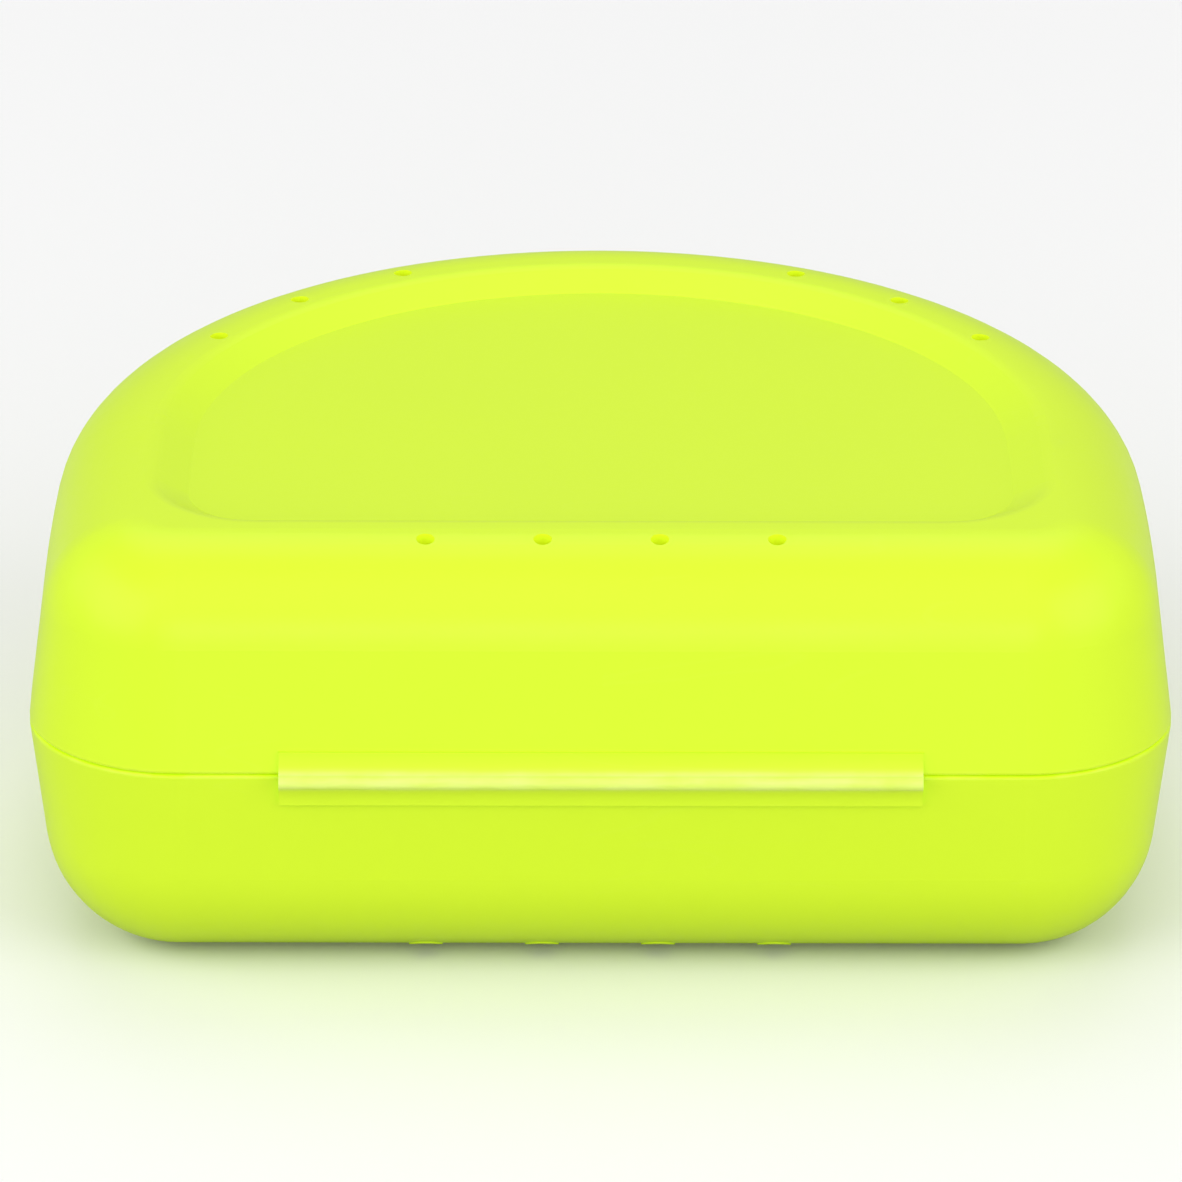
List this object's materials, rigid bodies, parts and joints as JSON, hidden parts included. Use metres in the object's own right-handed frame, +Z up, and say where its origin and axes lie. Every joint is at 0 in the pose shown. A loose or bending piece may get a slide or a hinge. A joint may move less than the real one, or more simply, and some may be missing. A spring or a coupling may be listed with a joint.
{
  "type": "orthodontic retainer box",
  "caption": "Small D-shaped hinged case with vents, a film hinge, a snap latch and a sunken label panel, for keeping a dental retainer or aligner in.",
  "frame": {"origin": "centre of the bounding box's underside, on the plane the base stands on", "axes": "+Z up; +X along the hinge; the hinge side faces -Y and the latch +Y"},
  "size_m": [0.08, 0.0706, 0.0318],
  "materials": {
    "shell_plastic": "satin moulded polypropylene, fluorescent yellow-green",
    "flexed_plastic": "the same polypropylene, thin and slightly stress-whitened"
  },
  "bodies": {
    "base": {"base_shell": "shell_plastic", "base_rim_lip": "shell_plastic", "base_vent_rims": "shell_plastic", "base_hinge_leaf": "shell_plastic", "base_catch": "shell_plastic", "hinge_film": "flexed_plastic"},
    "lid": {"lid_shell": "shell_plastic", "lid_hinge_leaf": "shell_plastic", "latch_bracket": "shell_plastic", "latch_neck": "flexed_plastic"},
    "latch": {"latch_tab": "shell_plastic"}
  },
  "joints": [
    {"name": "lid_hinge", "type": "hinge", "parent": "base", "child": "lid", "pos_m": [0, -0.03529, 0.01625], "axis": [1, 0, 0], "range_deg": [0, 180], "deforming": ["hinge_film"]},
    {"name": "latch_flex", "type": "hinge", "parent": "lid", "child": "latch", "pos_m": [0, 0.03288, 0.0194], "axis": [1, 0, 0], "range_deg": [0, 8], "stiffness_Nm_per_rad": 0.2, "deforming": ["latch_neck"]}
  ]
}
